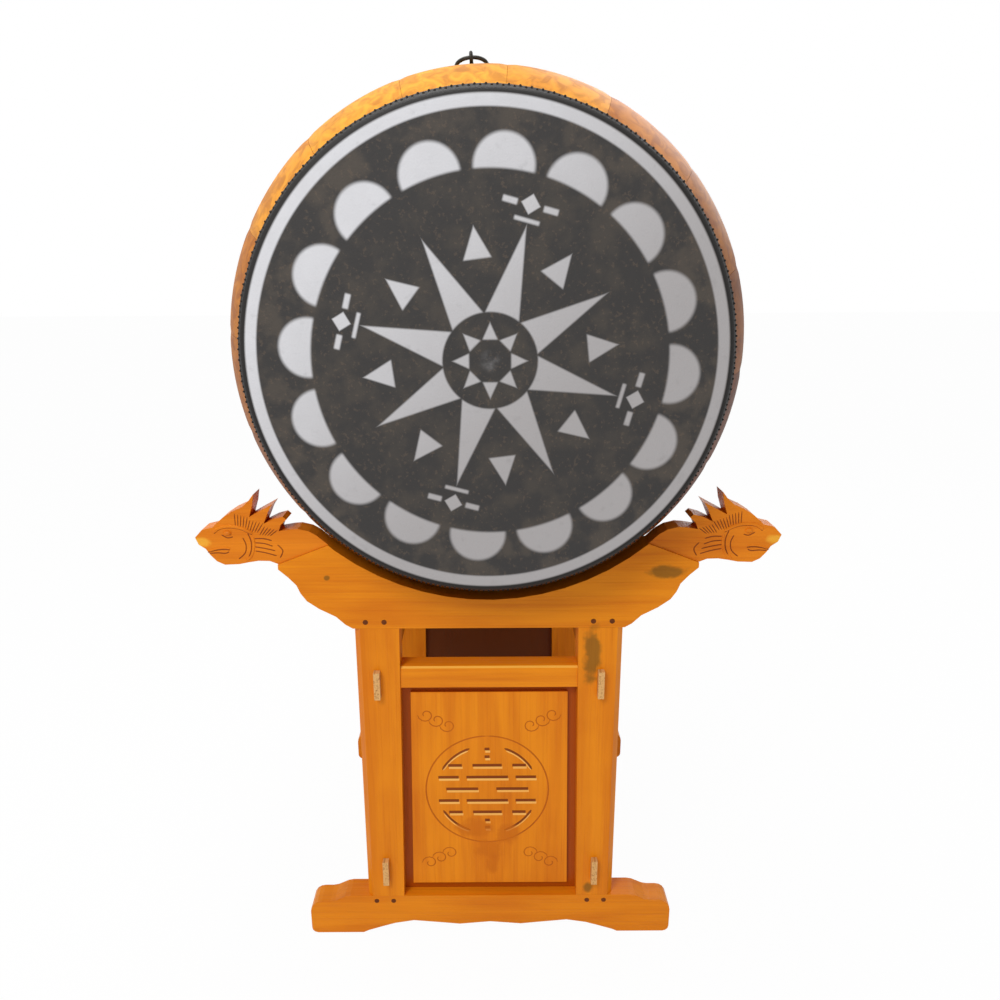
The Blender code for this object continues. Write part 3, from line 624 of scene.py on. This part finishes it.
# Cut lines of a dragon head at the right, as (x, z) in metres: mouth, brow, gills, eye, beard and neck
DRAGON_CUTS = (
    ((0.527, 0.8735), (0.512, 0.8775), (0.497, 0.8790), (0.485, 0.8780)),
    ((0.523, 0.8715), (0.508, 0.8725), (0.494, 0.8715), (0.487, 0.8745)),
    ((0.512, 0.9105), (0.500, 0.9190), (0.483, 0.9215), (0.462, 0.9185), (0.441, 0.9080)),
    ((0.449, 0.9110), (0.444, 0.8950), (0.445, 0.8780), (0.452, 0.8600)),
    ((0.459, 0.9020), (0.454, 0.8880), (0.457, 0.8720), (0.470, 0.8600)),
    ((0.498, 0.9080), (0.487, 0.9020), (0.477, 0.9040)),
    ((0.437, 0.9000), (0.420, 0.9000), (0.405, 0.8960)),
    ((0.437, 0.8920), (0.420, 0.8905), (0.404, 0.8850)),
    ((0.438, 0.8840), (0.420, 0.8810), (0.400, 0.8760)),
    ((0.438, 0.8760), (0.418, 0.8720), (0.398, 0.8660)),
    ((0.395, 0.8880), (0.386, 0.8760), (0.392, 0.8620)),
)
# First hair of each tuft, from its top to its foot, and how the next hairs follow
DRAGON_TUFTS = (
    ((0.447, 0.9420), (0.452, 0.9210)),
    ((0.419, 0.9300), (0.431, 0.9120)),
    ((0.393, 0.9165), (0.408, 0.9050)),
)
TUFT_HAIRS, HAIR_SPACING = 5, 0.0058
HAIR_TOP_RISE, HAIR_FOOT_SPREAD, HAIR_FOOT_RISE = 0.30, 0.8, 0.1
# Raised brow, lip and cheek, each with its half width
DRAGON_RIDGES = (
    (((0.513, 0.9130), (0.500, 0.9215), (0.483, 0.9242), (0.462, 0.9212), (0.440, 0.9105)), 0.0030),
    (((0.524, 0.8760), (0.510, 0.8806), (0.496, 0.8822), (0.484, 0.8806)), 0.0018),
    (((0.440, 0.9040), (0.4395, 0.8850), (0.446, 0.8660), (0.458, 0.8560)), 0.0026),
)
EYE_X, EYE_Z = 0.4865, 0.9113
EYE_HALF_WIDTH, EYE_HALF_DEPTH, EYE_HALF_HEIGHT = 0.0075, 0.0045, 0.0048
CUT_WIDTH, HAIR_WIDTH, CUT_FLATNESS, RIDGE_FLATNESS = 0.0011, 0.0009, 0.45, 0.7


def eyeball(side, y, rows=6, columns=14):
    """Rings of an eye that bulges from a plane across Y, the first and last one small."""
    least_size = 0.05
    rings = []
    for row in range(rows + 1):
        rise = math.pi * row / rows
        size = max(math.sin(rise), least_size)
        ring = []
        for turn in circle(columns):
            x = EYE_X + EYE_HALF_WIDTH * size * math.cos(turn)
            z = EYE_Z + EYE_HALF_HEIGHT * size * math.sin(turn)
            ring.append((side * x, y - EYE_HALF_DEPTH * math.cos(rise), z))
        rings.append(ring)
    return rings


def make_dragon_carving(label, side, front):
    """Cut lines in painted shade and raised forms on both faces of one dragon head."""

    def mirrored(points, plane_y, steps=6):
        return [(side * x, y, z) for x, y, z in smooth_path(points, plane_y, steps)]

    cuts = Shape()
    ridges = Shape()
    for plane in (front * DRAGON_FACE, front * DRAGON_BACK):
        for line in DRAGON_CUTS:
            cuts.tube(mirrored(line, plane), CUT_WIDTH, flat=CUT_FLATNESS)
        for (top_x, top_z), (foot_x, foot_z) in DRAGON_TUFTS:
            for hair in range(TUFT_HAIRS):
                shift = HAIR_SPACING * hair
                top = (top_x + shift, top_z + HAIR_TOP_RISE * shift)
                foot = (foot_x + HAIR_FOOT_SPREAD * shift, foot_z + HAIR_FOOT_RISE * shift)
                cuts.tube(mirrored((top, foot), plane, 4), HAIR_WIDTH, flat=CUT_FLATNESS)
        for line, width in DRAGON_RIDGES:
            ridges.tube(mirrored(line, plane), width, 8, RIDGE_FLATNESS)
        ridges.skin(eyeball(side, plane))
    add_mesh(f"{label}_dragon_cuts", cuts, GROOVE_SHADE_WOOD, "stand")
    add_mesh(f"{label}_dragon_forms", ridges, CARVED_WOOD, "stand")


# Roundel on the front panel: its ring, in metres, and the arcs inside the ring, with angles in degrees
ROUNDEL_X, ROUNDEL_Z, ROUNDEL_RADIUS = -0.005, 0.344, 0.127
RING_WIDTH, RING_STEPS = 0.0016, 72
ARC_RADIUS = ROUNDEL_RADIUS * 0.82
ARC_STARTS, ARC_SPAN, ARC_STEPS = (20, 118, 200, 298), 42, 14
# Each arc is a dark line of painted shade with a pale line of painted highlight below it
DARK_ARC_WIDTH, PALE_ARC_WIDTH = 0.0026, 0.0018
PALE_ARC_DROP, PALE_ARC_INSET = 0.0042, 2
LINE_FLATNESS, ARC_FLATNESS = 0.4, 0.3
# Dark and pale strip of a bar, in painted shade and painted highlight: height, how far it stands proud, and
# its place from the bar's middle
DARK_HEIGHT, DARK_PROUD, DARK_RISE = 0.0060, 0.0006, 0.0030
PALE_HEIGHT, PALE_PROUD, PALE_DROP, PALE_SHIFT = 0.0052, 0.0004, 0.0026, 0.0016
STRIP_SUNK = 0.003
# Bars of the upper half, which the lower half repeats: place from the middle and width
MIDDLE_BARS = ((0.056, 0.060), (0.028, 0.086), (0.094, 0.010), (0.076, 0.010))
OUTER_BARS = ((0.066, 0.056, 0.028), (0.080, 0.028, 0.042))
CROSS_BAR_X, CROSS_BAR_WIDTH = 0.052, 0.066
# Scrolls in the corners of the panel: first one of each row, and the steps to the next
SCROLL_X, SCROLL_STEP_X, SCROLL_STEP_Z = 0.128, 0.022, 0.012
SCROLL_LEVELS = ((0.520, -1), (0.165, 1))
SCROLL_RADIUS, SCROLL_SHRINK, SCROLL_TURN, SCROLL_POINTS = 0.017, 0.0009, 0.5, 15
SCROLL_WIDTH, SCROLLS_IN_ROW = 0.0012, 3


def roundel_arc(radius, start, end, count, drop=0.0):
    """Arc round the roundel's middle, between two angles in degrees from the top."""
    path = []
    for step in range(count + 1):
        turn = math.radians(start + (end - start) * step / count)
        z = ROUNDEL_Z + radius * math.cos(turn) - drop
        path.append((ROUNDEL_X + radius * math.sin(turn), -PANEL_FIELD, z))
    return path


def roundel_strip(shape, x, z, width, height, proud):
    """Flat strip let into the panel, with its middle at a place from the roundel's middle."""
    low_x, high_x = ROUNDEL_X + x - width / 2, ROUNDEL_X + x + width / 2
    low_z, high_z = ROUNDEL_Z + z - height / 2, ROUNDEL_Z + z + height / 2
    corners = ((low_x, low_z), (high_x, low_z), (high_x, high_z), (low_x, high_z))
    back, front = -PANEL_FIELD + STRIP_SUNK, -PANEL_FIELD - proud
    shape.skin([[(corner_x, y, corner_z) for corner_x, corner_z in corners] for y in (back, front)])


def scroll(side, middle_x, middle_z, foot):
    """Spiral that winds inwards, mirrored by side and by foot."""
    path = []
    for part in range(SCROLL_POINTS):
        turn = SCROLL_TURN * part
        radius = SCROLL_RADIUS - SCROLL_SHRINK * part
        x = middle_x + side * radius * math.cos(turn)
        path.append((x, -PANEL_FIELD, middle_z + foot * radius * math.sin(turn)))
    return path


def make_panel_carving():
    """Fretwork roundel and corner scrolls cut into the front panel, drawn in painted shade and painted
    highlight.
    """
    dark = Shape()
    pale = Shape()
    faint = Shape()

    def bar(x, z, width):
        """Cut bar: painted shade along its upper edge, and a painted highlight along its lower edge a little
        to the right.
        """
        roundel_strip(dark, x, z + DARK_RISE, width, DARK_HEIGHT, DARK_PROUD)
        roundel_strip(pale, x + PALE_SHIFT, z - PALE_DROP, width, PALE_HEIGHT, PALE_PROUD)

    faint.tube(roundel_arc(ROUNDEL_RADIUS, 0, 360, RING_STEPS), RING_WIDTH, flat=LINE_FLATNESS)
    for start in ARC_STARTS:
        end = start + ARC_SPAN
        upper = roundel_arc(ARC_RADIUS, start, end, ARC_STEPS)
        dark.tube(upper, DARK_ARC_WIDTH, flat=ARC_FLATNESS)
        start, end = start + PALE_ARC_INSET, end - PALE_ARC_INSET
        lower = roundel_arc(ARC_RADIUS, start, end, ARC_STEPS, PALE_ARC_DROP)
        pale.tube(lower, PALE_ARC_WIDTH, flat=ARC_FLATNESS)
    for half in (-1, 1):
        for z, width in MIDDLE_BARS:
            bar(0.0, half * z, width)
        for side in (-1, 1):
            for x, z, width in OUTER_BARS:
                bar(side * x, half * z, width)
    for side in (-1, 1):
        bar(side * CROSS_BAR_X, 0.0, CROSS_BAR_WIDTH)
        for level, foot in SCROLL_LEVELS:
            for step in range(SCROLLS_IN_ROW):
                middle_x = side * (SCROLL_X - SCROLL_STEP_X * step)
                middle_z = level + foot * SCROLL_STEP_Z * step
                spiral = scroll(side, middle_x, middle_z, foot)
                faint.tube(spiral, SCROLL_WIDTH, flat=LINE_FLATNESS)
    add_mesh("panel_roundel_cuts", dark, GROOVE_SHADE_WOOD, "stand", smooth=False)
    add_mesh("panel_roundel_edges", pale, EDGE_HIGHLIGHT_WOOD, "stand", smooth=False)
    add_mesh("panel_faint_lines", faint, FAINT_SHADE_WOOD, "stand")


# Eased edges, and how far a face leans to Y where it counts as an eased edge of the solid itself and gets a
# painted highlight
STAND_EASE, CARVED_EASE, EASE_ANGLE = 0.0024, 0.0035, math.radians(50)
LEAST_LEAN, MOST_LEAN = 0.3, 0.95


def ease_edges(item, width):
    """Round the edges of a piece a little."""
    bevel = item.modifiers.new("eased_edges", "BEVEL")
    bevel.width = width
    bevel.segments = 2
    bevel.limit_method = "ANGLE"
    bevel.angle_limit = EASE_ANGLE


def paint_arris_highlights(item):
    """Give the slanted edge faces of a board a painted highlight in lighter wood."""
    item.data.materials.append(ARRIS_HIGHLIGHT_WOOD)
    for face in item.data.polygons:
        if LEAST_LEAN < abs(face.normal.y) < MOST_LEAN:
            face.material_index = 1


def dress_nodes():
    """Materials and eased edges for the sub-parts that keep their own shape."""
    slot_materials = {"carved_wood": CARVED_WOOD, "peg_wood": DRAW_PEG_WOOD, "iron_fittings": iron()}
    stand_materials = {"leg": UPRIGHT_WOOD, "panel": panel_wood(), "side_rail": side_rail_wood()}
    for node in frame["record"]["subparts"]:
        name, slot = node["node"], node["material_slot"]
        item = bpy.data.objects.get(name)
        if item is None or slot in ("barrel_wood", "drum_hide"):
            continue
        material = slot_materials.get(slot, LEVEL_WOOD)
        for ending, choice in stand_materials.items():
            if name.endswith(ending):
                material = choice
        item.data.materials.clear()
        item.data.materials.append(material)
        if slot == "carved_wood":
            ease_edges(item, CARVED_EASE)
        if slot == "stand_wood":
            ease_edges(item, STAND_EASE)
        if name.endswith(("cross_rail", "foot_beam")):
            paint_arris_highlights(item)


def white_for_camera(tree, plain, target, strength):
    """Show white to the camera, mirrors and clear pieces, and the plain shader to all other light."""
    path = tree.nodes.new("ShaderNodeLightPath")
    seen = path.outputs["Is Camera Ray"]
    for word in ("Is Glossy Ray", "Is Transmission Ray"):
        either = tree.nodes.new("ShaderNodeMath")
        either.operation = "MAXIMUM"
        tree.links.new(seen, either.inputs[0])
        tree.links.new(path.outputs[word], either.inputs[1])
        seen = either.outputs[0]
    share = tree.nodes.new("ShaderNodeMath")
    share.operation = "MULTIPLY"
    share.inputs[1].default_value = strength
    tree.links.new(seen, share.inputs[0])
    glow_kind = "ShaderNodeEmission" if target.name == "Material Output" else "ShaderNodeBackground"
    glow = tree.nodes.new(glow_kind)
    glow.inputs["Color"].default_value = (1, 1, 1, 1)
    glow.inputs["Strength"].default_value = 1.0
    mixer = tree.nodes.new("ShaderNodeMixShader")
    tree.links.new(share.outputs[0], mixer.inputs[0])
    tree.links.new(plain, mixer.inputs[1])
    tree.links.new(glow.outputs[0], mixer.inputs[2])
    tree.links.new(mixer.outputs[0], target.inputs["Surface"])


# Floor: its colour, and the share of it that shows as plain white; then the light from all round
FLOOR_COLOUR, FLOOR_SHARE = (0.85, 0.85, 0.85, 1.0), 0.97
WORLD_LIGHT = 0.52


def make_floor():
    """Pale floor that looks almost white and keeps a little of the shadow."""
    reach = 30
    mesh = bpy.data.meshes.new("floor")
    corners = [(-reach, -reach, 0), (reach, -reach, 0), (reach, reach, 0), (-reach, reach, 0)]
    mesh.from_pydata(corners, [], [(0, 1, 2, 3)])
    floor = bpy.data.objects.new("floor", mesh)
    bpy.context.scene.collection.objects.link(floor)
    nodes = Nodes("pale_floor", 0.9)
    mesh.materials.append(nodes.finish(FLOOR_COLOUR))
    surface = nodes.tree.nodes["Material Output"]
    white_for_camera(nodes.tree, nodes.shader.outputs[0], surface, FLOOR_SHARE)


def make_world():
    """Even light from all round, seen as white."""
    world = bpy.data.worlds.new("studio")
    bpy.context.scene.world = world
    world.use_nodes = True
    plain = world.node_tree.nodes["Background"]
    plain.inputs["Color"].default_value = (1, 1, 1, 1)
    plain.inputs["Strength"].default_value = WORLD_LIGHT
    white_for_camera(world.node_tree, plain.outputs[0], world.node_tree.nodes["World Output"], 1.0)


# Square lamps: name, place, size and power; all face the middle of the object
LAMPS = (
    ("key", (-1.6, -3.2, 3.6), 1.4, 80),
    ("top", (-0.3, 0.0, 3.6), 1.4, 38),
    ("back", (1.5, 3.4, 2.8), 2.0, 34),
)
LAMP_TARGET = Vector((0, 0, 0.9))


def make_lamps():
    """Soft lamps round the object."""
    for name, place, size, power in LAMPS:
        light = bpy.data.lights.new(name, "AREA")
        light.size = size
        light.energy = power
        lamp = bpy.data.objects.new(name, light)
        bpy.context.scene.collection.objects.link(lamp)
        turn = (LAMP_TARGET - Vector(place)).to_track_quat("-Z", "Y").to_matrix().to_4x4()
        lamp.matrix_world = Matrix.Translation(place) @ turn


# Camera: place in metres, angles in degrees, lens in millimetres
CAMERA_PLACE = (0, -1.807, 1.368)
CAMERA_PITCH, CAMERA_ROLL = 16.5, -0.3
LENS, SENSOR, SHIFT_X, SHIFT_Y = 29.35, 36.0, 0.0118, 0.0179


def make_camera():
    """Camera where the photograph was taken from."""
    lens = bpy.data.cameras.new("camera")
    lens.lens = LENS
    lens.sensor_width = SENSOR
    lens.shift_x = SHIFT_X
    lens.shift_y = SHIFT_Y
    camera = bpy.data.objects.new("camera", lens)
    bpy.context.scene.collection.objects.link(camera)
    pitch = Matrix.Rotation(math.radians(90 - CAMERA_PITCH), 4, "X")
    roll = Matrix.Rotation(math.radians(CAMERA_ROLL), 4, "Z")
    camera.matrix_world = Matrix.Translation(CAMERA_PLACE) @ pitch @ roll
    bpy.context.scene.camera = camera
    bpy.context.scene.view_settings.view_transform = "Standard"


dress_nodes()
make_staves()
make_head("front_head", -1, 7, head_hide("painted_hide", True))
make_head("rear_head", 1, 8, head_hide("plain_hide", False))
make_hide_pegs("front_hide_pegs", -1)
make_hide_pegs("rear_hide_pegs", 1)
for front_sign, frame_word in ((-1, "front"), (1, "rear")):
    for side_sign, side_word in ((-1, "left"), (1, "right")):
        make_dragon_carving(f"{frame_word}_{side_word}", side_sign, front_sign)
make_panel_carving()
make_floor()
make_world()
make_lamps()
make_camera()
